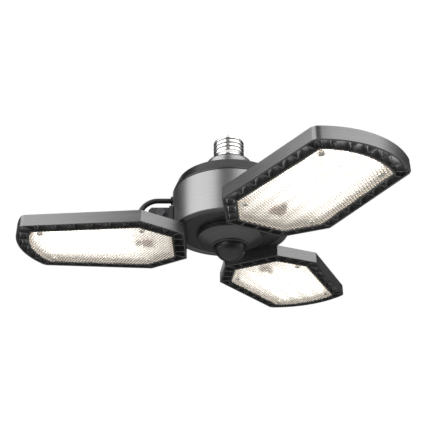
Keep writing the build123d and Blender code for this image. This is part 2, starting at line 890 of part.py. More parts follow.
for k in range(panel_count):
    number = k + 1

    # Panel frame: a cast tray with a slotted cooling rim, a lip round the lens, and fins on its back
    on_face = level(k, panel_inset_radius, panel_face)
    on_back = level(k, panel_inset_radius, panel_back)
    with BuildPart() as panel_frame:
        with BuildSketch(on_face) as body:
            add(full_outline)
        extrude(body.sketch, amount=panel_depth)
        uprights = panel_frame.edges().filter_by(Axis.Z).sort_by_distance(on_face.origin)
        chamfer(uprights[-2:], tip_corner)
        uprights = panel_frame.edges().filter_by(Axis.Z).sort_by_distance(on_face.origin)
        fillet(uprights[:4], shoulder_corner)
        with BuildSketch(on_face) as tray:
            add(tray_opening)
        extrude(tray.sketch, amount=panel_depth - tray_thickness, mode=Mode.SUBTRACT)
        with BuildSketch(on_face) as cells:
            add(rim_cells.sketch)
        extrude(cells.sketch, amount=panel_depth, mode=Mode.SUBTRACT)
        with BuildSketch(on_face) as band:
            add(rim_band.sketch)
        extrude(band.sketch, amount=rib_recess, mode=Mode.SUBTRACT)
        with BuildSketch(on_face) as lip:
            add(lip_band.sketch)
        extrude(lip.sketch, amount=-lens_lip)
        with BuildSketch(on_back) as fins:
            with Locations((fin_start + fin_length / 2, 0)):
                with GridLocations(0, fin_pitch, 1, fin_count):
                    Rectangle(fin_length, fin_thickness)
        extrude(fins.sketch, amount=fin_height)
        with BuildSketch(on_back) as screw_holes:
            with Locations(*lens_screw_places, *foot_screws):
                Circle(small_hole)
            with Locations((gland_reach, 0)):
                Circle(gland_stem_radius + seat_fit)
        extrude(screw_holes.sketch, amount=-tray_thickness, mode=Mode.SUBTRACT)
    finish(panel_frame, f"panel_frame_{number}")

    # Lamp board: a white board against the tray, cut round the lens pillars and the gland
    on_board = level(k, panel_inset_radius, board_under)
    with BuildPart() as led_board:
        with BuildSketch(on_board) as board:
            add(board_outline)
            with Locations(*lens_screw_places):
                Circle(lens_pillar_radius + loose_fit, mode=Mode.SUBTRACT)
            with Locations((gland_reach, 0)):
                Circle(gland_stem_radius + loose_fit, mode=Mode.SUBTRACT)
            with Locations(*foot_screws):
                Circle(small_hole + loose_fit, mode=Mode.SUBTRACT)
        extrude(board.sketch, amount=board_thickness)
    finish(led_board, f"led_board_{number}")

    # Lamps: rows of small chips soldered under the board
    with BuildPart() as leds:
        with BuildSketch(on_board) as chips:
            with Locations((led_start + (led_columns - 1) * led_pitch / 2, 0)):
                with GridLocations(led_pitch, led_row_pitch, led_columns, led_rows):
                    Rectangle(led_width, led_length)
        extrude(chips.sketch, amount=-led_height)
    finish(leds, f"leds_{number}")

    # Lead connector: a terminal block under the board with the two leads from the gland
    on_connector = level(k, panel_inset_radius + connector_reach, board_under)
    with BuildPart() as lead_connector:
        block(on_connector, connector_length, connector_width, -connector_height)
        for side in (-gland_stem_radius / 2, gland_stem_radius / 2):
            lead_end = connector_reach + connector_length / 2
            plane = facing(k, panel_inset_radius + lead_end, board_under - connector_height / 2, side)
            post(plane, lead_radius, gland_reach - lead_end - gland_stem_radius - seat_fit)
    finish(lead_connector, f"lead_connector_{number}")

    # Lens: a moulded clear cover with an upright edge, and four pillars for its screws
    on_lens = level(k, panel_inset_radius, lens_face)
    in_lens = level(k, panel_inset_radius, lens_inside)
    lens_wall_height = tray_under - gasket_thickness - lens_inside
    with BuildPart() as lens_cover:
        with BuildSketch(on_lens) as pane:
            add(lens_outline)
        extrude(pane.sketch, amount=lens_thickness)
        with BuildSketch(in_lens) as edge:
            add(lens_outline)
            add(lens_hollow, mode=Mode.SUBTRACT)
        extrude(edge.sketch, amount=lens_wall_height)
        with BuildSketch(in_lens) as pillars:
            with Locations(*lens_screw_places):
                Circle(lens_pillar_radius)
        extrude(pillars.sketch, amount=tray_under - lens_inside)
        with BuildSketch(on_lens) as bores:
            with Locations(*lens_screw_places):
                Circle(small_screw_radius + seat_fit)
        extrude(bores.sketch, amount=tray_under - lens_face, mode=Mode.SUBTRACT)
        with BuildSketch(on_lens) as sinks:
            with Locations(*lens_screw_places):
                Circle(small_screw_head_radius + seat_fit)
        extrude(sinks.sketch, amount=small_screw_head_height, mode=Mode.SUBTRACT)
    finish(lens_cover, f"lens_cover_{number}")

    # Lens gasket: a rubber ring between the lens's edge and the tray
    with BuildPart() as lens_gasket:
        with BuildSketch(level(k, panel_inset_radius, tray_under)) as seal:
            add(lens_outline)
            add(lens_hollow, mode=Mode.SUBTRACT)
        extrude(seal.sketch, amount=-gasket_thickness)
    finish(lens_gasket, f"lens_gasket_{number}")

    # Lens screws: four small screws, sunk in the lens, that bite into the tray
    lens_screw_length = panel_back - lens_face - small_screw_head_height - pivot_fit
    with BuildPart() as lens_screws:
        for reach, side in lens_screw_places:
            spot = level(k, panel_inset_radius + reach, lens_face + small_screw_head_height, side)
            seat = Plane(origin=spot.origin, x_dir=spot.x_dir, z_dir=(0, 0, -1))
            slotted_screw(
                seat,
                small_screw_radius,
                lens_screw_length,
                small_screw_head_radius,
                small_screw_head_height - pivot_fit,
            )
    finish(lens_screws, f"lens_screws_{number}")

    # Hinge knuckle: a cast lug between the ears, with a heel that stops under the bracket
    with BuildPart() as hinge_knuckle:
        with BuildSketch(upright(k)) as lug:
            with BuildLine() as shape:
                Polyline(
                    (pivot_radius + lug_half, pivot_level),
                    (pivot_radius + lug_half, panel_back + foot_thickness),
                    (panel_inset_radius + foot_end, panel_back + foot_thickness),
                    (panel_inset_radius + foot_end, panel_back),
                    (panel_inset_radius + foot_inner, panel_back),
                    (panel_inset_radius + foot_inner, heel_top),
                    (pivot_radius - lug_half, heel_top),
                    (pivot_radius - lug_half, pivot_level),
                )
                ThreePointArc(
                    (pivot_radius - lug_half, pivot_level),
                    (pivot_radius, pivot_level + lug_half),
                    (pivot_radius + lug_half, pivot_level),
                )
            make_face()
        extrude(lug.sketch, amount=foot_half, both=True)
        with BuildSketch(upright(k)) as eye:
            with Locations((pivot_radius, pivot_level)):
                Circle(pivot_hole)
        extrude(eye.sketch, amount=foot_half, both=True, mode=Mode.SUBTRACT)
        with BuildSketch(on_back) as foot_holes:
            with Locations(*foot_screws):
                Circle(small_hole)
        extrude(foot_holes.sketch, amount=foot_thickness, mode=Mode.SUBTRACT)
    finish(hinge_knuckle, f"hinge_knuckle_{number}")

    # Knuckle screws: two small screws through the foot into the tray
    with BuildPart() as knuckle_screws:
        for reach, side in foot_screws:
            seat = level(k, panel_inset_radius + reach, panel_back + foot_thickness, side)
            slotted_screw(
                seat,
                small_screw_radius,
                foot_screw_length,
                small_screw_head_radius,
                small_screw_head_height,
            )
    finish(knuckle_screws, f"knuckle_screws_{number}")

    # Cable gland: a tapered boot on the panel's back with a stem through the tray and board
    gland_middle = level(k, cable_reach, panel_back)
    gland_mouth = level(k, cable_reach, gland_top)
    with BuildPart() as cable_gland:
        post(gland_middle, gland_base_radius, gland_height / 3)
        with BuildSketch(level(k, cable_reach, panel_back + gland_height / 3)) as low:
            Circle(gland_base_radius - grommet_wall)
        with BuildSketch(gland_mouth) as high:
            Circle(cable_radius + grommet_wall)
        loft([low.sketch.face(), high.sketch.face()], ruled=True)
        post(gland_middle, gland_stem_radius, board_under - connector_height - panel_back)
    finish(cable_gland, f"cable_gland_{number}")
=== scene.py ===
import math

import bmesh
import bpy
from mathutils import Matrix, Vector


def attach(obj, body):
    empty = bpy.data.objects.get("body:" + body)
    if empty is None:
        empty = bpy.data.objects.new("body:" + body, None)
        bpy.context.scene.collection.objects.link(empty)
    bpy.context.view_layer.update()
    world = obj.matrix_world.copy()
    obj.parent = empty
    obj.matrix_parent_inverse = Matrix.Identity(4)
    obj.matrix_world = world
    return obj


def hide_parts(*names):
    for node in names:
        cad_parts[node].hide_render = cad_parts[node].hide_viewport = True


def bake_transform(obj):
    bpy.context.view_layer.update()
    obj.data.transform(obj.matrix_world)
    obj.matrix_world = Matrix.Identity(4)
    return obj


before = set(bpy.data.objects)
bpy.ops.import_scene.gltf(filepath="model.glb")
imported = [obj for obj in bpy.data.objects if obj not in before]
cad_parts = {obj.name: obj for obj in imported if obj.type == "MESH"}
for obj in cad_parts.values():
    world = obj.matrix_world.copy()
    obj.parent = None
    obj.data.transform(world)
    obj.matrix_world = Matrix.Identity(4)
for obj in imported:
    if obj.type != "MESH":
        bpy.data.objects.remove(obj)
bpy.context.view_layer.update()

# The screw shell of the cap: a cup of thin brass with a round thread rolled into its wall,
# nickel plated and bright. Its plain skirt is crimped over the neck below it.
mm = 0.001
shell_radius = 13.1 * mm
shell_inside = 11.45 * mm
shell_height = 18 * mm
shell_skirt = 3.4 * mm
skirt_slope = 0.5 * mm
shell_crown = 1.6 * mm
shell_opening = 10 * mm
shell_opening_lip = 0.5 * mm
shell_wall = 0.9 * mm
shell_turns = 144
crown_steps = 6
thread_pitch = 3.63 * mm
thread_depth = 0.6 * mm
thread_relief = 0.3 * mm
thread_phase = 5.215 * mm
thread_row = 0.18 * mm
thread_run_in = 0.45 * thread_pitch
thread_run_out = 0.3 * thread_pitch
nickel = (0.86, 0.85, 0.83, 1)
nickel_roughness = 0.2
nickel_smear = 0.06
nickel_lines = 0.02
line_height = 0.06 * mm
# Painted shade: the colour that the thread's root is darkened to, where shade falls in the valley.
root_shade_colour = (0.3, 0.3, 0.3, 1)
root_shade_starts = 0.55
root_shade_full = 0.9
root_shade_low = shell_skirt + 0.2 * thread_pitch
root_shade_high = shell_skirt + 0.4 * thread_pitch


def put(tree, kind, sockets=(), **settings):
    """Add a shader node, set its fields, and set or link its inputs."""
    made = tree.nodes.new("ShaderNode" + kind)
    for title, value in settings.items():
        setattr(made, title, value)
    for title, value in dict(sockets).items():
        if isinstance(value, bpy.types.NodeSocket):
            tree.links.new(value, made.inputs[title])
        else:
            made.inputs[title].default_value = value
    return made


def new_group(name, inputs, outputs):
    """An empty node group with named sockets: the tree, and what comes in."""
    group = bpy.data.node_groups.new(name, "ShaderNodeTree")
    for title, kind, value in inputs:
        socket = group.interface.new_socket(title, in_out="INPUT", socket_type="NodeSocket" + kind)
        if value is not None:
            socket.default_value = value
    for title, kind in outputs:
        group.interface.new_socket(title, in_out="OUTPUT", socket_type="NodeSocket" + kind)
    return group, group.nodes.new("NodeGroupInput").outputs


def give_out(group, **values):
    """Link the named outputs of a node group."""
    end = group.nodes.new("NodeGroupOutput")
    for title, value in values.items():
        group.links.new(value, end.inputs[title])


def use_group(tree, group, **sockets):
    """Place a node group in a material with its own values."""
    made = tree.nodes.new("ShaderNodeGroup")
    made.node_tree = group
    for title, value in sockets.items():
        title = title.replace("_", " ")
        if isinstance(value, bpy.types.NodeSocket):
            tree.links.new(value, made.inputs[title])
        else:
            made.inputs[title].default_value = value
    return made.outputs


def handled_metal_group():
    """Bright metal that has been handled: faint smears in its roughness and fine turned lines."""
    group, given = new_group(
        "handled metal",
        [("Place", "Vector", None), ("Colour", "Color", nickel), ("Roughness", "Float", 0.2),
         ("Smear", "Float", 0.1), ("Line Spacing", "Float", 0.0003), ("Line Depth", "Float", 0.1)],
        [("Colour", "Color"), ("Roughness", "Float"), ("Height", "Float")])
    cloud = put(group, "TexNoise", {"Vector": given["Place"], "Scale": 160, "Detail": 4})
    fine = put(group, "VectorMath", {0: given["Place"], 1: (60, 60, 1)}, operation="MULTIPLY")
    axis = put(group, "SeparateXYZ", {0: fine.outputs[0]})
    rows = put(group, "Math", {0: axis.outputs[2], 1: given["Line Spacing"]}, operation="DIVIDE")
    spread = put(group, "CombineXYZ", {0: axis.outputs[0], 1: axis.outputs[1], 2: rows.outputs[0]})
    lines = put(group, "TexNoise", {"Vector": spread.outputs[0], "Scale": 1, "Detail": 2})
    smear = put(group, "MapRange", {0: cloud.outputs[0], 1: 0.35, 2: 0.65, 3: 0, 4: given["Smear"]})
    rough = put(group, "Math", {0: given["Roughness"], 1: smear.outputs[0]}, operation="ADD")
    dull = put(group, "MapRange", {0: cloud.outputs[0], 1: 0.3, 2: 0.75, 3: 1.04, 4: 0.9})
    tint = put(group, "VectorMath", {0: given["Colour"], "Scale": dull.outputs[0]}, operation="SCALE")
    height = put(group, "Math", {0: lines.outputs[0], 1: given["Line Depth"]}, operation="MULTIPLY")
    give_out(group, Colour=tint.outputs[0], Roughness=rough.outputs[0], Height=height.outputs[0])
    return group


handled_metal = handled_metal_group()


def new_material(name):
    """An empty material: its node tree and its Principled shader."""
    material = bpy.data.materials.new(name)
    material.use_nodes = True
    return material, material.node_tree, material.node_tree.nodes["Principled BSDF"]


def metal_finish(name, colour, roughness, smear=0.12, line_depth=0.15):
    """Plain bright or turned metal."""
    material, tree, shader = new_material(name)
    place = put(tree, "TexCoord").outputs["Object"]
    out = use_group(tree, handled_metal, Place=place, Colour=colour, Roughness=roughness,
                    Smear=smear, Line_Depth=line_depth)
    tree.links.new(out["Colour"], shader.inputs["Base Color"])
    tree.links.new(out["Roughness"], shader.inputs["Roughness"])
    bump = put(tree, "Bump", {"Height": out["Height"], "Distance": line_height})
    tree.links.new(bump.outputs[0], shader.inputs["Normal"])
    shader.inputs["Metallic"].default_value = 1
    return material


def new_piece(name, form, material, sharp_degrees=38):
    """A mesh object from a bmesh, smooth except across its sharp edges."""
    mesh = bpy.data.meshes.new(name)
    form.normal_update()
    form.to_mesh(mesh)
    form.free()
    mesh.shade_smooth()
    mesh.set_sharp_from_angle(angle=math.radians(sharp_degrees))
    mesh.materials.append(material)
    made = bpy.data.objects.new(name, mesh)
    bpy.context.scene.collection.objects.link(made)
    return made


def shell_section():
    """Rows of the shell's outer face: a height, a radius, and how deep the thread is there."""
    rows = [(0, shell_radius, 0), (shell_skirt - skirt_slope, shell_radius, 0)]
    crest = shell_radius - thread_relief
    thread_top = shell_height - shell_crown
    count = round((thread_top - shell_skirt) / thread_row)
    for i in range(count + 1):
        height = shell_skirt + (thread_top - shell_skirt) * i / count
        depth = min(1, (height - shell_skirt) / thread_run_in, (thread_top - height) / thread_run_out)
        rows.append((height, crest, max(0, depth)))
    for i in range(1, crown_steps + 1):
        turn = math.pi / 2 * i / crown_steps
        inward = shell_crown * (1 - math.cos(turn))
        rows.append((thread_top + shell_crown * math.sin(turn), crest - inward, 0))
    rows.append((shell_height, shell_opening, 0))
    rows.append((shell_height - shell_opening_lip, shell_opening, 0))
    rows.append((shell_height - shell_wall, shell_inside, 0))
    rows.append((0, shell_inside, 0))
    return rows


def threaded_shell():
    """The shell as a closed ring: its thread is a helix that the outer wall follows."""
    form = bmesh.new()
    rings = []
    for height, radius, depth in shell_section():
        ring = []
        for i in range(shell_turns):
            angle = 2 * math.pi * i / shell_turns
            phase = (height - thread_phase) / thread_pitch - angle / (2 * math.pi)
            valley = (0.5 + 0.5 * math.cos(2 * math.pi * phase)) ** 4
            reach = radius - thread_depth * depth * valley
            ring.append(form.verts.new((reach * math.cos(angle), reach * math.sin(angle), height)))
        rings.append(ring)
    for low, high in zip(rings, rings[1:] + rings[:1]):
        for i in range(shell_turns):
            j = (i + 1) % shell_turns
            form.faces.new((low[i], low[j], high[j], high[i]))
    return form


def root_shaded_finish():
    """Nickel plate with painted shade: its colour goes darker in the root of the thread."""
    material, tree, shader = new_material("threaded nickel plate")
    place = put(tree, "TexCoord").outputs["Object"]
    plan = put(tree, "SeparateXYZ", {0: place})
    angle = put(tree, "Math", {0: plan.outputs[1], 1: plan.outputs[0]}, operation="ARCTAN2")
    height = put(tree, "Math", {0: plan.outputs[2], 1: thread_phase}, operation="SUBTRACT")
    climb = put(tree, "Math", {0: height.outputs[0], 1: 2 * math.pi / thread_pitch}, operation="MULTIPLY")
    phase = put(tree, "Math", {0: climb.outputs[0], 1: angle.outputs[0]}, operation="SUBTRACT")
    wave = put(tree, "Math", {0: phase.outputs[0]}, operation="COSINE")
    # Painted shade in the root of the thread, faded in over the lowest part of the thread.
    root = put(tree, "MapRange", {0: wave.outputs[0], 1: root_shade_starts, 2: root_shade_full},
               interpolation_type="SMOOTHSTEP")
    run_in = put(tree, "MapRange", {0: plan.outputs[2], 1: root_shade_low, 2: root_shade_high})
    dark = put(tree, "Math", {0: root.outputs[0], 1: run_in.outputs[0]}, operation="MULTIPLY")
    out = use_group(tree, handled_metal, Place=place, Colour=nickel, Roughness=nickel_roughness,
                    Smear=nickel_smear, Line_Depth=nickel_lines)
    tint = put(tree, "Mix", {0: dark.outputs[0], 6: out["Colour"], 7: root_shade_colour}, data_type="RGBA")
    tree.links.new(tint.outputs[2], shader.inputs["Base Color"])
    tree.links.new(out["Roughness"], shader.inputs["Roughness"])
    bump = put(tree, "Bump", {"Height": out["Height"], "Distance": line_height})
    tree.links.new(bump.outputs[0], shader.inputs["Normal"])
    shader.inputs["Metallic"].default_value = 1
    return material


nickel_plate = metal_finish("nickel plate", nickel, nickel_roughness, nickel_smear, nickel_lines)
shell = new_piece("threaded_shell", threaded_shell(), root_shaded_finish(), 50)
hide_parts("screw_shell")
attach(shell, "housing")

# The insulator and the centre contact: a white moulded disc with a cone that stands out of the
# shell, and a crowned brass rivet through it. Both stay in the solids' own form.
ceramic_white = (0.80, 0.79, 0.76, 1)
grain_swing = 0.16


def moulding_group():
    """Moulded or baked surface: a fine grain, and slow changes of tone over the piece."""
    group, given = new_group(
        "moulding grain",
        [("Place", "Vector", None), ("Colour", "Color", ceramic_white), ("Roughness", "Float", 0.5),
         ("Grain", "Float", 1500), ("Mottle", "Float", 0.1)],
        [("Colour", "Color"), ("Roughness", "Float"), ("Height", "Float")])
    fine = put(group, "TexNoise", {"Vector": given["Place"], "Scale": given["Grain"], "Detail": 3})
    slow = put(group, "TexNoise", {"Vector": given["Place"], "Scale": 45, "Detail": 3})
    swing = put(group, "MapRange", {0: slow.outputs[0], 1: 0.3, 2: 0.7, 3: -1, 4: 1})
    shade = put(group, "Math", {0: swing.outputs[0], 1: given["Mottle"], 2: 1}, operation="MULTIPLY_ADD")
    tint = put(group, "VectorMath", {0: given["Colour"], "Scale": shade.outputs[0]}, operation="SCALE")
    rough = put(group, "Math", {0: fine.outputs[0], 1: grain_swing, 2: given["Roughness"]},
                operation="MULTIPLY_ADD")
    give_out(group, Colour=tint.outputs[0], Roughness=rough.outputs[0], Height=fine.outputs[0])
    return group


moulding_grain = moulding_group()


def moulded_finish(name, colour, roughness, grain=1500, depth=0.04 * mm, mottle=0.08):
    """Plastic, rubber or ceramic with a moulded surface."""
    material, tree, shader = new_material(name)
    place = put(tree, "TexCoord").outputs["Object"]
    out = use_group(tree, moulding_grain, Place=place, Colour=colour, Roughness=roughness - grain_swing / 2,
                    Grain=grain, Mottle=mottle)
    tree.links.new(out["Colour"], shader.inputs["Base Color"])
    tree.links.new(out["Roughness"], shader.inputs["Roughness"])
    bump = put(tree, "Bump", {"Height": out["Height"], "Distance": depth})
    tree.links.new(bump.outputs[0], shader.inputs["Normal"])
    return material


def dress(material, *names):
    """Give CAD nodes their material."""
    for name in names:
        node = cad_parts[name]
        if not node.material_slots:
            node.data.materials.append(material)
        for place in node.material_slots:
            place.material = material


def true_edges_group():
    """Geometry nodes that join the seams of a solid's mesh and mark its true edges as sharp."""
    group = bpy.data.node_groups.new("true edges", "GeometryNodeTree")
    for way in ("INPUT", "OUTPUT"):
        group.interface.new_socket("Geometry", in_out=way, socket_type="NodeSocketGeometry")
    given, end = group.nodes.new("NodeGroupInput"), group.nodes.new("NodeGroupOutput")
    join = group.nodes.new("GeometryNodeMergeByDistance")
    join.inputs["Distance"].default_value = seam_reach
    plain = group.nodes.new("GeometryNodeRemoveAttribute")
    plain.inputs["Name"].default_value = "custom_normal"
    smooth = group.nodes.new("GeometryNodeSetShadeSmooth")
    corner = group.nodes.new("GeometryNodeInputMeshEdgeAngle")
    steep = group.nodes.new("FunctionNodeCompare")
    steep.inputs["B"].default_value = edge_angle
    mark = group.nodes.new("GeometryNodeSetShadeSmooth")
    mark.domain = "EDGE"
    mark.inputs["Shade Smooth"].default_value = False
    links = group.links
    links.new(given.outputs[0], join.inputs[0])
    links.new(join.outputs[0], plain.inputs[0])
    links.new(plain.outputs[0], smooth.inputs["Geometry"])
    links.new(smooth.outputs[0], mark.inputs["Geometry"])
    links.new(corner.outputs["Unsigned Angle"], steep.inputs["A"])
    links.new(steep.outputs[0], mark.inputs["Selection"])
    links.new(mark.outputs[0], end.inputs[0])
    return group


seam_reach = 0.002 * mm
edge_angle = math.radians(32)
true_edges = true_edges_group()


def soften(*names, width=0.2 * mm, turned=True):
    """Break the sharp edges of CAD nodes, as casting and paint do, so that they catch the light."""
    for name in names:
        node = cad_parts[name]
        node.modifiers.new("true edges", "NODES").node_group = true_edges
        edge = node.modifiers.new("broken edge", "BEVEL")
        edge.width = width
        edge.segments = 2
        edge.angle_limit = edge_angle
        edge.use_clamp_overlap = False
        edge.harden_normals = turned
        if not turned:
            node.modifiers.new("flat faces", "WEIGHTED_NORMAL")


dress(moulded_finish("baked insulator", ceramic_white, 0.45, 900), "cap_insulator")
dress(nickel_plate, "centre_contact", "sensor_element")
soften("cap_insulator", "centre_contact")

# The collar: a turned aluminium neck in satin grey paint, with a painted shade line round its upper edge,
# under the joint with the shell.
# It is turned in one piece with the spigot that carries the shell, and plugs into the cover below.
collar_grey = (0.21, 0.21, 0.21, 1)
collar_roughness = 0.36
collar_metal = 0.8
# Painted shade: a near-black band on the collar just below its joint with the shell.
joint_shade_level = -3.75 * mm
joint_shade_fade = 0.3 * mm
joint_shade_colour = (0.015, 0.015, 0.015, 1)
paint_height = 0.008 * mm


def satin_paint_group():
    """Satin paint on metal: fine orange peel, faint lengthwise brushing under it, slow mottling."""
    group, given = new_group(
        "satin paint",
        [("Place", "Vector", None), ("Colour", "Color", collar_grey), ("Roughness", "Float", 0.35),
         ("Grain", "Float", 900), ("Brushing", "Float", 0.1), ("Mottle", "Float", 0.06)],
        [("Colour", "Color"), ("Roughness", "Float"), ("Height", "Float")])
    peel = put(group, "TexNoise", {"Vector": given["Place"], "Scale": given["Grain"], "Detail": 2})
    drawn = put(group, "VectorMath", {0: given["Place"], 1: (26, 26, 1500)}, operation="MULTIPLY")
    streak = put(group, "TexNoise", {"Vector": drawn.outputs[0], "Scale": 1, "Detail": 3})
    slow = put(group, "TexNoise", {"Vector": given["Place"], "Scale": 28, "Detail": 2})
    lean = put(group, "MapRange", {0: streak.outputs[0], 1: 0.3, 2: 0.7, 3: -1, 4: 1})
    swing = put(group, "MapRange", {0: slow.outputs[0], 1: 0.3, 2: 0.7, 3: -1, 4: 1})
    brushed = put(group, "Math", {0: lean.outputs[0], 1: given["Brushing"], 2: 1}, operation="MULTIPLY_ADD")
    mottled = put(group, "Math", {0: swing.outputs[0], 1: given["Mottle"], 2: brushed.outputs[0]},
                  operation="MULTIPLY_ADD")
    tint = put(group, "VectorMath", {0: given["Colour"], "Scale": mottled.outputs[0]}, operation="SCALE")
    worn = put(group, "Math", {0: lean.outputs[0], 1: given["Brushing"]}, operation="MULTIPLY")
    lined = put(group, "Math", {0: worn.outputs[0], 1: 0.35, 2: given["Roughness"]}, operation="MULTIPLY_ADD")
    rough = put(group, "Math", {0: swing.outputs[0], 1: 0.02, 2: lined.outputs[0]}, operation="MULTIPLY_ADD")
    height = put(group, "Math", {0: worn.outputs[0], 1: 0.5, 2: peel.outputs[0]}, operation="MULTIPLY_ADD")
    give_out(group, Colour=tint.outputs[0], Roughness=rough.outputs[0], Height=height.outputs[0])
    return group


satin_paint = satin_paint_group()


def painted_finish(name, colour, roughness, metallic=0.7, brushing=0.1):
    """Satin paint with metal in it."""
    material, tree, shader = new_material(name)
    place = put(tree, "TexCoord").outputs["Object"]
    out = use_group(tree, satin_paint, Place=place, Colour=colour, Roughness=roughness, Brushing=brushing)
    tree.links.new(out["Colour"], shader.inputs["Base Color"])
    tree.links.new(out["Roughness"], shader.inputs["Roughness"])
    bump = put(tree, "Bump", {"Height": out["Height"], "Distance": paint_height})
    tree.links.new(bump.outputs[0], shader.inputs["Normal"])
    shader.inputs["Metallic"].default_value = metallic
    return material


def joint_shaded_finish():
    """Satin grey paint with a painted shade line at the edge below the joint with the shell."""
    material, tree, shader = new_material("collar paint")
    place = put(tree, "TexCoord").outputs["Object"]
    out = use_group(tree, satin_paint, Place=place, Colour=collar_grey, Roughness=collar_roughness)
    height = put(tree, "SeparateXYZ", {0: place}).outputs[2]
    joint_shade_band = put(tree, "MapRange", {0: height, 1: joint_shade_level - joint_shade_fade, 2: joint_shade_level})
    tint = put(tree, "Mix", {0: joint_shade_band.outputs[0], 6: out["Colour"], 7: joint_shade_colour}, data_type="RGBA")
    tree.links.new(tint.outputs[2], shader.inputs["Base Color"])
    tree.links.new(out["Roughness"], shader.inputs["Roughness"])
    bump = put(tree, "Bump", {"Height": out["Height"], "Distance": paint_height})
    tree.links.new(bump.outputs[0], shader.inputs["Normal"])
    shader.inputs["Metallic"].default_value = collar_metal
    return material


dress(joint_shaded_finish(), "cap_collar")
soften("cap_collar", width=0.3 * mm)

# The upper cover: a spun aluminium dish, painted a darker grey than the drum that it closes.
# Its lip plugs into the drum.
cover_grey = (0.066, 0.066, 0.066, 1)
dress(painted_finish("cover paint", cover_grey, 0.3, 0.85), "upper_cover")
soften("upper_cover", width=0.35 * mm)

# The drum: a turned aluminium can in satin grey paint, with an inward flange below. The driver
# is inside, and the three hinge brackets are riveted to its wall.
drum_grey = (0.19, 0.19, 0.19, 1)
dress(painted_finish("drum paint", drum_grey, 0.36, 0.85, 0.07), "drum_housing")
soften("drum_housing", width=0.7 * mm)

# The bottom plate: a stepped disc in near-black paint that fills the drum's flange from inside.
plate_black = (0.10, 0.10, 0.10, 1)
dress(painted_finish("plate paint", plate_black, 0.3, 0.8), "bottom_plate")
soften("bottom_plate", width=0.4 * mm)

# The motion sensor: a shallow dish with a dark satin coat under the plate, a slim ring, and a
# dark dome that lets heat through. Its board and the metal can of the element are inside.
sensor_black = (0.095, 0.095, 0.095, 1)
bezel_black = (0.030, 0.030, 0.032, 1)
dome_black = (0.016, 0.016, 0.018, 1)
dress(painted_finish("sensor paint", sensor_black, 0.34, 0.7), "sensor_cap")
dress(moulded_finish("bezel moulding", bezel_black, 0.3, 1300, 0.02 * mm), "sensor_bezel")
dress(moulded_finish("dome moulding", dome_black, 0.34, 700, 0.03 * mm), "sensor_dome")
soften("sensor_cap", width=0.6 * mm)
soften("sensor_bezel")

# The driver inside the drum: a green board on three pillars, with its transformer, cans and
# moulded parts. Leads run from it to the cap and to the three panel cables.
board_green = (0.03, 0.16, 0.06, 1)
ferrite_grey = (0.055, 0.05, 0.047, 1)
part_black = (0.02, 0.02, 0.022, 1)
lead_red = (0.32, 0.03, 0.025, 1)
zinc = (0.56, 0.56, 0.54, 1)
zinc_plate = metal_finish("zinc plate", zinc, 0.3, 0.18, 0.3)
dress(moulded_finish("solder mask", board_green, 0.35, 2600), "driver_board", "sensor_board")
dress(moulded_finish("ferrite", ferrite_grey, 0.6, 700), "driver_transformer")
dress(moulded_finish("moulded parts", part_black, 0.4), "driver_capacitors", "driver_parts")
dress(moulded_finish("lead insulation", lead_red, 0.35), "inner_leads")
dress(zinc_plate, "driver_pillars", "plate_screws")

# The hinges: cast brackets in dark paint, riveted to the drum, with a cast lug between their
# ears on each panel's back. A bolt with friction washers and a nut holds each panel where it is put.
hinge_grey = (0.055, 0.055, 0.058, 1)
rubber_black = (0.018, 0.018, 0.019, 1)
steel_black = (0.10, 0.10, 0.105, 1)
hinge_paint = painted_finish("hinge paint", hinge_grey, 0.4, 0.5)
black_steel = metal_finish("blackened steel", steel_black, 0.42, 0.15, 0.2)
black_rubber = moulded_finish("black rubber", rubber_black, 0.5, 1800)
numbers = (1, 2, 3)
for number in numbers:
    dress(hinge_paint, f"hinge_bracket_{number}", f"hinge_knuckle_{number}")
    soften(f"hinge_bracket_{number}", f"hinge_knuckle_{number}", turned=False)
    dress(zinc_plate, f"knuckle_screws_{number}")
dress(black_steel, "pivot_bolts", "pivot_nuts", "pivot_washers")
dress(black_rubber, "cable_grommets")

# The panel frames: cast aluminium trays in satin dark grey paint. The rim is a row of open
# cooling cells between two walls, and fins stand on the back.
panel_grey = (0.13, 0.13, 0.13, 1)
panel_paint = painted_finish("panel paint", panel_grey, 0.33, 0.75, 0.16)
for number in numbers:
    dress(panel_paint, f"panel_frame_{number}")
    soften(f"panel_frame_{number}", width=0.18 * mm, turned=False)

# The lamp boards: white boards with rows of small phosphor chips, lit. Their light is strongest
# round the chips and falls off towards the board's edge. A brown terminal block takes the leads.
panel_inset_radius = 34.8 * mm
first_azimuth = 180
panel_spacing = 120
chip_start = 42 * mm
chip_pitch = 6.6 * mm
chip_row_pitch = 12.4 * mm
board_middle = 68 * mm
pool_core = 1 * mm
pool_reach = 6 * mm
glow_middle = board_middle + 10 * mm
glow_reach = 62 * mm
glow_half = 36 * mm
root_start = 8 * mm
root_end = 66 * mm
board_white = (0.80, 0.78, 0.74, 1)
glow = (1.0, 0.965, 0.91, 1)
phosphor = (1.0, 0.86, 0.50, 1)
terminal_brown = (0.30, 0.075, 0.035, 1)
entry_shade_colour = (0.05, 0.02, 0.014, 1)


def azimuth(number):
    """Direction in which a panel points, in radians."""
    return math.radians(first_azimuth + (number - 1) * panel_spacing)


def panel_plan(tree, number):
    """Place on a panel: x outward from its inner edge, y along its hinge."""
    place = put(tree, "TexCoord").outputs["Object"]
    turned = put(tree, "Mapping", {"Vector": place, "Rotation": (0, 0, -azimuth(number)),
                                   "Location": (-panel_inset_radius, 0, 0)})
    return turned.outputs[0]


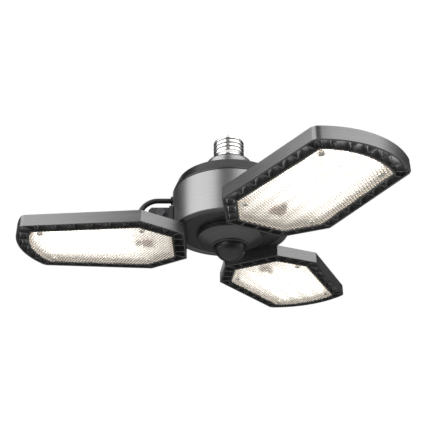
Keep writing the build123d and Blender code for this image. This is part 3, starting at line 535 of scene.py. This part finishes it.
def glow_group():
    """Light over a lamp board: soft pools round the chips that fade towards the board's edge."""
    group, given = new_group(
        "board glow",
        [("Place", "Vector", None), ("Pool", "Float", 0.5), ("Ground", "Float", 0.5)],
        [("Strength", "Float")])
    plan = put(group, "SeparateXYZ", {0: given["Place"]})
    shifted = put(group, "Math", {0: plan.outputs[0], 1: chip_start - chip_pitch / 2},
                  operation="SUBTRACT")
    along = put(group, "Math", {0: shifted.outputs[0], 1: chip_pitch / 2}, operation="PINGPONG")
    side = put(group, "Math", {0: plan.outputs[1], 1: chip_row_pitch / 2}, operation="PINGPONG")
    near = put(group, "CombineXYZ", {0: along.outputs[0], 1: side.outputs[0]})
    from_chip = put(group, "VectorMath", {0: near.outputs[0], 1: (chip_pitch / 2, chip_row_pitch / 2, 0)},
                    operation="DISTANCE")
    pool = put(group, "MapRange", {0: from_chip.outputs["Value"], 1: pool_core, 2: pool_reach, 3: 1, 4: 0},
               interpolation_type="SMOOTHERSTEP")
    centred = put(group, "VectorMath", {0: given["Place"], 1: (glow_middle, 0, 0)}, operation="SUBTRACT")
    flat = put(group, "VectorMath", {0: centred.outputs[0], 1: (1 / glow_reach, 1 / glow_half, 0)},
               operation="MULTIPLY")
    far = put(group, "VectorMath", {0: flat.outputs[0]}, operation="LENGTH")
    rim = put(group, "MapRange", {0: far.outputs["Value"], 1: 0.75, 2: 1.35, 3: 1, 4: 0.85},
              interpolation_type="SMOOTHSTEP")
    root = put(group, "MapRange", {0: plan.outputs[0], 1: root_start, 2: root_end, 3: 0.22, 4: 1},
               interpolation_type="SMOOTHSTEP")
    fade = put(group, "Math", {0: rim.outputs[0], 1: root.outputs[0]}, operation="MULTIPLY")
    cloud = put(group, "TexNoise", {"Vector": given["Place"], "Scale": 60, "Detail": 2})
    uneven = put(group, "MapRange", {0: cloud.outputs[0], 1: 0.3, 2: 0.7, 3: 0.85, 4: 1.15})
    light = put(group, "Math", {0: pool.outputs[0], 1: given["Pool"], 2: given["Ground"]},
                operation="MULTIPLY_ADD")
    faded = put(group, "Math", {0: light.outputs[0], 1: fade.outputs[0]}, operation="MULTIPLY")
    strength = put(group, "Math", {0: faded.outputs[0], 1: uneven.outputs[0]}, operation="MULTIPLY")
    give_out(group, Strength=strength.outputs[0])
    return group


board_glow = glow_group()


def lit_finish(name, number, colour, strength, pool, ground):
    """A surface that gives off the board's light: its emission colour fades with the glow."""
    material, tree, shader = new_material(f"{name} {number}")
    place = panel_plan(tree, number)
    out = use_group(tree, moulding_grain, Place=place, Colour=colour, Roughness=0.4, Grain=2200.0,
                    Mottle=0.05)
    tree.links.new(out["Colour"], shader.inputs["Base Color"])
    tree.links.new(out["Roughness"], shader.inputs["Roughness"])
    shine = use_group(tree, board_glow, Place=place, Pool=pool, Ground=ground)
    lit = put(tree, "VectorMath", {0: glow[:3], "Scale": shine["Strength"]}, operation="SCALE")
    tree.links.new(lit.outputs[0], shader.inputs["Emission Color"])
    shader.inputs["Emission Strength"].default_value = strength
    return material


def terminal_finish():
    """Red-brown moulding with painted shade squares in rows that stand for the wire entries."""
    material, tree, shader = new_material("terminal block")
    place = put(tree, "TexCoord").outputs["Object"]
    out = use_group(tree, moulding_grain, Place=place, Colour=terminal_brown, Roughness=0.4,
                    Grain=1500.0, Mottle=0.2)
    # Painted shade: near-black checker squares stand for the dark insides of the wire entries.
    check = put(tree, "TexChecker", {"Vector": place, "Color1": out["Colour"], "Color2": entry_shade_colour,
                                     "Scale": 420})
    tree.links.new(check.outputs[0], shader.inputs["Base Color"])
    tree.links.new(out["Roughness"], shader.inputs["Roughness"])
    return material


terminal_paint = terminal_finish()
for number in numbers:
    board = lit_finish("lit board", number, board_white, strength=2.6, pool=1.0, ground=0.45)
    chips = lit_finish("lit phosphor", number, phosphor, strength=4.2, pool=0.5, ground=0.7)
    dress(board, f"led_board_{number}")
    dress(chips, f"leds_{number}")
    dress(terminal_paint, f"lead_connector_{number}")

# The lenses: clear moulded covers with an upright edge. Small six-sided pyramids cover the whole
# face and spread the light. Four pillars take the small sunk screws, and a rubber ring seals the edge.
inner_half = 24.4 * mm
shoulder_reach = 30.4 * mm
shoulder_half = 46.1 * mm
tip_reach = 119 * mm
tip_half = 38.1 * mm
tip_bow = 11.2 * mm
lens_edge = 10.15 * mm
lens_wall = 1.5 * mm
lens_face = -77.5 * mm
lens_thickness = 1.6 * mm
lens_wall_top = -71.3 * mm
lens_pillar_top = -70.3 * mm
prism_pitch = 2.5 * mm
prism_depth = 0.42 * mm
prism_rows = 30
prism_sharp = 5
boss_radius = 3.1 * mm
screw_places = ((31.5 * mm, 28.236 * mm), (108 * mm, 23.97 * mm))
screw_bore = 1.2 * mm
screw_sink = 2.2 * mm
screw_sink_depth = 1.1 * mm
pillar_radius = 2.6 * mm
cut_overrun = 1 * mm
lens_tint = (0.97, 0.965, 0.95, 1)
# Painted shade and painted glow: a darker tint and weaker glow in the valleys, a brighter glow on the
# pyramids.
valley_painted_shade = (0.15, 0.13, 0.11, 1)
lens_painted_glow = (0.27, 0.262, 0.245, 1)
valley_painted_glow = (0.06, 0.053, 0.044, 1)
valley_foot = -0.9
valley_top = 0.5
lens_roughness = 0.32
lens_ior = 1.2
seal_grey = (0.035, 0.035, 0.036, 1)
screw_pale = (0.80, 0.79, 0.76, 1)


def panel_edge(inset, tip_steps=24):
    """Corners of a panel's plan, drawn in by inset, in order round it."""
    flank = [Vector((0, inner_half)), Vector((shoulder_reach, shoulder_half)), Vector((tip_reach, tip_half))]
    lines = [(Vector((inset, 0)), Vector((0, 1)))]
    for a, b in zip(flank, flank[1:]):
        run = (b - a).normalized()
        inward = Vector((run.y, -run.x))
        lines.append((a + inward * inset, run))
    corners = []
    for (p, d), (q, e) in zip(lines, lines[1:]):
        step = (q - p).cross(e) / d.cross(e)
        corners.append(p + d * step)
    radius = (tip_half**2 + tip_bow**2) / (2 * tip_bow)
    centre = Vector((tip_reach + tip_bow - radius, 0))
    p, d = lines[-1]
    reach = radius - inset
    middle = (centre - p).dot(d)
    foot = p + d * middle
    tip = foot + d * math.sqrt(reach**2 - (foot - centre).length_squared)
    corners.append(tip)
    start = math.atan2(tip.y, tip.x - centre.x)
    for i in range(1, tip_steps):
        angle = start * (1 - 2 * i / tip_steps)
        corners.append(centre + Vector((math.cos(angle), math.sin(angle))) * reach)
    corners += [Vector((c.x, -c.y)) for c in reversed(corners[:3])]
    return corners


def prism_sheet(edge):
    """The lens's face: rows of six-sided pyramids that point out of the panel, cut to its edge."""
    form = bmesh.new()
    base = lens_face + prism_depth
    spots = [Vector((x, side * y)) for x, y in screw_places for side in (-1, 1)]
    middle = Vector((board_middle, 0))
    step = Vector((prism_pitch / 2, prism_pitch / (2 * math.sqrt(3))))
    lattice = {}

    def corner(i, j, height):
        """A point of the pyramids' grid, counted in half steps, flat round the screws."""
        if (i, j) not in lattice:
            spot = middle + Vector((i * step.x, j * step.y))
            if min((spot - s).length for s in spots) < boss_radius:
                height = lens_face
            lattice[i, j] = form.verts.new((spot.x, spot.y, height))
        return lattice[i, j]

    low, high = min(c.x for c in edge) - 2 * prism_pitch, max(c.x for c in edge) + 2 * prism_pitch
    half = max(c.y for c in edge) + 2 * prism_pitch
    for row in range(-prism_rows, prism_rows):
        for place in range(-2 * prism_rows, 2 * prism_rows):
            i, j = 2 * place + row % 2, 3 * row
            if not (low < middle.x + i * step.x < high and abs(j * step.y) < half):
                continue
            around = ((1, 1), (0, 2), (-1, 1), (-1, -1), (0, -2), (1, -1))
            ring = [corner(i + right, j + up, base) for right, up in around]
            top = corner(i, j, lens_face)
            for a, b in zip(ring, ring[1:] + ring[:1]):
                form.faces.new((b, a, top))
    for a, b in zip(edge, edge[1:] + edge[:1]):
        run = (b - a).normalized()
        outward = Vector((-run.y, run.x, 0))
        every = form.verts[:] + form.edges[:] + form.faces[:]
        bmesh.ops.bisect_plane(form, geom=every, plane_co=(a.x, a.y, 0), plane_no=outward, clear_outer=True)
    return form


def lens_pane(edge):
    """The pane: the prism sheet, closed by a flat back and an edge."""
    form = prism_sheet(edge)
    rim = [e for e in form.edges if e.is_boundary]
    grown = bmesh.ops.extrude_edge_only(form, edges=rim)["geom"]
    raised = [v for v in grown if isinstance(v, bmesh.types.BMVert)]
    for v in raised:
        v.co.z = lens_face + lens_thickness
    loop = [e for e in grown if isinstance(e, bmesh.types.BMEdge) and e.is_boundary]
    bmesh.ops.edgeloop_fill(form, edges=loop)
    bmesh.ops.recalc_face_normals(form, faces=form.faces)
    return form


def add_ring(form, outer, inner, low, high):
    """A closed ring between two outlines that have as many corners."""
    rings = [[form.verts.new((c.x, c.y, z)) for c in line]
             for line, z in ((outer, low), (outer, high), (inner, high), (inner, low))]
    count = len(outer)
    for a, b in zip(rings, rings[1:] + rings[:1]):
        for i in range(count):
            j = (i + 1) % count
            form.faces.new((a[j], a[i], b[i], b[j]))


def circle(centre, radius, steps=28):
    """Points round a circle."""
    turns = (2 * math.pi * i / steps for i in range(steps))
    return [centre + Vector((math.cos(t), math.sin(t))) * radius for t in turns]


def lens_mesh():
    """The whole cover: the pane with sunk screw holes, its upright edge and its pillars."""
    edge = panel_edge(lens_edge)
    pane = new_piece("lens pane", lens_pane(edge), lens_plastic, prism_sharp)
    spots = [Vector((x, side * y)) for x, y in screw_places for side in (-1, 1)]
    cutter = bmesh.new()
    for spot in spots:
        rows = ((lens_face - cut_overrun, screw_sink), (lens_face + screw_sink_depth, screw_sink),
                (lens_face + screw_sink_depth, screw_bore),
                (lens_face + lens_thickness + cut_overrun, screw_bore))
        rings = [[cutter.verts.new((c.x, c.y, z)) for c in circle(spot, r)] for z, r in rows]
        for a, b in zip(rings, rings[1:]):
            for i in range(len(a)):
                j = (i + 1) % len(a)
                cutter.faces.new((a[i], a[j], b[j], b[i]))
        cutter.faces.new(list(reversed(rings[0])))
        cutter.faces.new(rings[-1])
    holes = new_piece("lens holes", cutter, lens_plastic)
    cut = pane.modifiers.new("holes", "BOOLEAN")
    cut.object = holes
    cut.solver = "EXACT"
    bpy.context.view_layer.update()
    shaped = bpy.data.meshes.new_from_object(pane.evaluated_get(bpy.context.evaluated_depsgraph_get()))
    form = bmesh.new()
    form.from_mesh(shaped)
    add_ring(form, edge, panel_edge(lens_edge + lens_wall), lens_face + lens_thickness, lens_wall_top)
    for spot in spots:
        add_ring(form, list(reversed(circle(spot, pillar_radius))), list(reversed(circle(spot, screw_bore))),
                 lens_face + lens_thickness, lens_pillar_top)
    for used in (pane, holes):
        bpy.data.objects.remove(used)
    return form


def prism_valleys(tree, place):
    """How far a place is from a valley between the pyramids, and whether it is inside the lens."""
    shifted = put(tree, "VectorMath", {0: place, 1: (board_middle, 0, 0)}, operation="SUBTRACT").outputs[0]
    wave = 4 * math.pi / (math.sqrt(3) * prism_pitch)
    crests = []
    for turn in (30, 90, 150):
        way = (wave * math.cos(math.radians(turn)), wave * math.sin(math.radians(turn)), 0)
        phase = put(tree, "VectorMath", {0: shifted, 1: way}, operation="DOT_PRODUCT").outputs["Value"]
        crests.append(put(tree, "Math", {0: phase}, operation="COSINE").outputs[0])
    pair = put(tree, "Math", {0: crests[0], 1: crests[1]}, operation="ADD").outputs[0]
    total = put(tree, "Math", {0: pair, 1: crests[2]}, operation="ADD").outputs[0]
    slope = put(tree, "MapRange", {0: total, 1: valley_foot, 2: valley_top},
                interpolation_type="SMOOTHSTEP")
    height = put(tree, "SeparateXYZ", {0: place}).outputs[2]
    inside = put(tree, "Math", {0: height, 1: lens_face + 2 * prism_depth}, operation="GREATER_THAN")
    return slope.outputs[0], inside.outputs[0]


def lens_finish():
    """Clear plastic with a painted glow on its face, and painted shade in the valleys between its pyramids.
    """
    material, tree, shader = new_material("clear lens plastic")
    place = put(tree, "TexCoord").outputs["Object"]
    slope, inside = prism_valleys(tree, place)
    # Painted shade: the valleys get the darker tint and the weaker painted glow; the back and edge of the
    # lens keep the plain tint and the weaker glow.
    clear = put(tree, "Math", {0: slope, 1: inside}, operation="MAXIMUM").outputs[0]
    bright = put(tree, "Math", {0: slope, 1: inside}, operation="SUBTRACT").outputs[0]
    tint = put(tree, "Mix", {0: clear, 6: valley_painted_shade, 7: lens_tint}, data_type="RGBA")
    shine = put(tree, "Mix", {0: bright, 6: valley_painted_glow, 7: lens_painted_glow}, data_type="RGBA")
    out = use_group(tree, moulding_grain, Place=place, Colour=tint.outputs[2], Roughness=lens_roughness,
                    Grain=800.0, Mottle=0.02)
    tree.links.new(out["Colour"], shader.inputs["Base Color"])
    tree.links.new(out["Roughness"], shader.inputs["Roughness"])
    tree.links.new(shine.outputs[2], shader.inputs["Emission Color"])
    shader.inputs["Emission Strength"].default_value = 1
    shader.inputs["Transmission Weight"].default_value = 1
    shader.inputs["IOR"].default_value = lens_ior
    return material


def on_panel(number):
    """Where a panel's own plan lies on the lamp."""
    return Matrix.Rotation(azimuth(number), 4, "Z") @ Matrix.Translation((panel_inset_radius, 0, 0))


lens_plastic = lens_finish()
seal_rubber = moulded_finish("seal rubber", seal_grey, 0.6, 1800)
screw_steel = metal_finish("screw steel", screw_pale, 0.55, 0.15, 0.2)
master = new_piece("prism_lens", lens_mesh(), lens_plastic, prism_sharp)
for number in numbers:
    lens = bpy.data.objects.new(f"prism_lens_{number}", master.data)
    bpy.context.scene.collection.objects.link(lens)
    lens.matrix_world = on_panel(number)
    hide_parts(f"lens_cover_{number}")
    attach(lens, f"panel_{number}")
    dress(seal_rubber, f"lens_gasket_{number}")
    dress(screw_steel, f"lens_screws_{number}")
bpy.data.objects.remove(master)

# The panel cables: round black leads, from the grommets in the drum over the hinges and down
# into a tapered rubber boot on each panel.
cable_radius = 2.1 * mm
cable_bend = 14.5 * mm
cable_start = 42.6 * mm
cable_reach = 72.3 * mm
cable_level = -36.8 * mm
cable_end = -62 * mm
cable_sides = 20
bend_steps = 28
start_steps = 8
drop_steps = 6
cable_black = (0.022, 0.022, 0.023, 1)


def cable_route():
    """Points along the cable: how far out, how high, and the angle that it falls by."""
    points = []
    straight = cable_reach - cable_bend - cable_start
    for i in range(start_steps):
        points.append((cable_start + straight * i / start_steps, cable_level, 0))
    for i in range(bend_steps + 1):
        turn = math.pi / 2 * i / bend_steps
        points.append((cable_reach - cable_bend + cable_bend * math.sin(turn),
                       cable_level - cable_bend + cable_bend * math.cos(turn), turn))
    drop = cable_level - cable_bend - cable_end
    for i in range(1, drop_steps + 1):
        points.append((cable_reach, cable_level - cable_bend - drop * i / drop_steps, math.pi / 2))
    return points


def cable_mesh(number):
    """A round tube along the route, closed at both ends."""
    form = bmesh.new()
    turn = Matrix.Rotation(azimuth(number), 3, "Z")
    rings = []
    for out, height, fall in cable_route():
        ring = []
        for i in range(cable_sides):
            angle = 2 * math.pi * i / cable_sides
            up, side = cable_radius * math.cos(angle), cable_radius * math.sin(angle)
            spot = Vector((out + up * math.sin(fall), side, height + up * math.cos(fall)))
            ring.append(form.verts.new(turn @ spot))
        rings.append(ring)
    for a, b in zip(rings, rings[1:]):
        for i in range(cable_sides):
            j = (i + 1) % cable_sides
            form.faces.new((a[i], a[j], b[j], b[i]))
    form.faces.new(list(reversed(rings[0])))
    form.faces.new(rings[-1])
    bmesh.ops.recalc_face_normals(form, faces=form.faces)
    return form


cable_sleeve = moulded_finish("cable sleeve", cable_black, 0.36, 1500, 0.02 * mm)
for number in numbers:
    cable = new_piece(f"bent_cable_{number}", cable_mesh(number), cable_sleeve)
    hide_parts(f"panel_cable_{number}")
    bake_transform(cable)
    dress(black_rubber, f"cable_gland_{number}")

# The room: a pale floor well below the lamp, two tall soft lights in front of it, and dark
# cards at its sides that only reflections see. The camera looks up at it from below.
floor_level = -0.62
floor_side = 8
floor_pale = (0.83, 0.83, 0.82, 1)
camera_place = (-0.01338, -0.45205, -0.27402)
camera_right = Vector((0.99999787, 0.00092, -0.00185))
camera_up = Vector((0.00206, -0.44770, 0.89418))
camera_lens = 53.23
aim = Vector((0, 0, -0.05))
air_light = 0.35


def flat_sheet(name, width, height, material):
    """A flat sheet that faces along its own z."""
    form = bmesh.new()
    signs = ((-1, -1), (1, -1), (1, 1), (-1, 1))
    form.faces.new([form.verts.new((x * width / 2, y * height / 2, 0)) for x, y in signs])
    return new_piece(name, form, material)


def toward(place, target):
    """Turn an object's -z axis from a place to a target."""
    return (Vector(target) - Vector(place)).to_track_quat("-Z", "Y").to_matrix().to_4x4()


def from_front(angle, rise, distance):
    """A place round the lamp: angle from the front towards +x, and rise, in degrees."""
    a, r = math.radians(angle), math.radians(rise)
    return aim + Vector((math.sin(a) * math.cos(r), -math.cos(a) * math.cos(r), math.sin(r))) * distance


floor_paper = moulded_finish("floor paper", floor_pale, 0.9, 60, 0.1 * mm, 0.01)
floor = flat_sheet("floor", floor_side, floor_side, floor_paper)
floor.location = (0, 0, floor_level)

for name, angle, rise, distance, width, height, power in (
        ("left box", -57, 27, 1.3, 1.5, 0.75, 11.5),
        ("right box", 47, 27, 1.3, 1.5, 0.75, 9.2)):
    lamp = bpy.data.lights.new(name, "AREA")
    lamp.shape = "RECTANGLE"
    lamp.size, lamp.size_y, lamp.energy = width, height, power
    made = bpy.data.objects.new(name, lamp)
    bpy.context.scene.collection.objects.link(made)
    spot = from_front(angle, rise, distance)
    made.matrix_world = Matrix.Translation(spot) @ toward(spot, aim)
    made.visible_camera = False

card_black, card_tree, card_shader = new_material("card black")
card_shader.inputs["Base Color"].default_value = (0.01, 0.01, 0.01, 1)
card_shader.inputs["Roughness"].default_value = 0.9
for name, angle, rise, distance, width, height in (
        ("left card", -125, 25, 1.6, 1.5, 2.0),
        ("right card", 125, 25, 1.6, 1.4, 2.0),
        ("front card", -9, 27, 1.2, 0.52, 1.1),
        ("back low card", 180, -14, 1.05, 3.0, 1.4),
        ("front low card", 0, -20, 0.8, 1.5, 0.5)):
    card = flat_sheet(name, width, height, card_black)
    spot = from_front(angle, rise, distance)
    card.matrix_world = Matrix.Translation(spot) @ toward(spot, aim)
    card.visible_camera = False
    card.visible_diffuse = False
    card.visible_shadow = False
    card.visible_transmission = False

world = bpy.data.worlds.new("studio air")
world.use_nodes = True
bpy.context.scene.world = world
tree = world.node_tree
path = put(tree, "LightPath").outputs
seen = put(tree, "Math", {0: path["Is Camera Ray"], 1: path["Is Glossy Ray"]}, operation="MAXIMUM")
seen = put(tree, "Math", {0: seen.outputs[0], 1: path["Is Transmission Ray"]}, operation="MAXIMUM")
level = put(tree, "MapRange", {0: seen.outputs[0], 3: air_light, 4: 1})
tree.links.new(level.outputs[0], tree.nodes["Background"].inputs["Strength"])
tree.nodes["Background"].inputs["Color"].default_value = (1, 1, 1, 1)

camera = bpy.data.cameras.new("camera")
camera.lens = camera_lens
camera.sensor_width = 36
camera.clip_start = 0.01
viewer = bpy.data.objects.new("camera", camera)
bpy.context.scene.collection.objects.link(viewer)
turn = Matrix((camera_right, camera_up, camera_right.cross(camera_up))).transposed()
viewer.matrix_world = Matrix.Translation(camera_place) @ turn.to_4x4()
bpy.context.scene.camera = viewer
bpy.context.scene.view_settings.view_transform = "Standard"
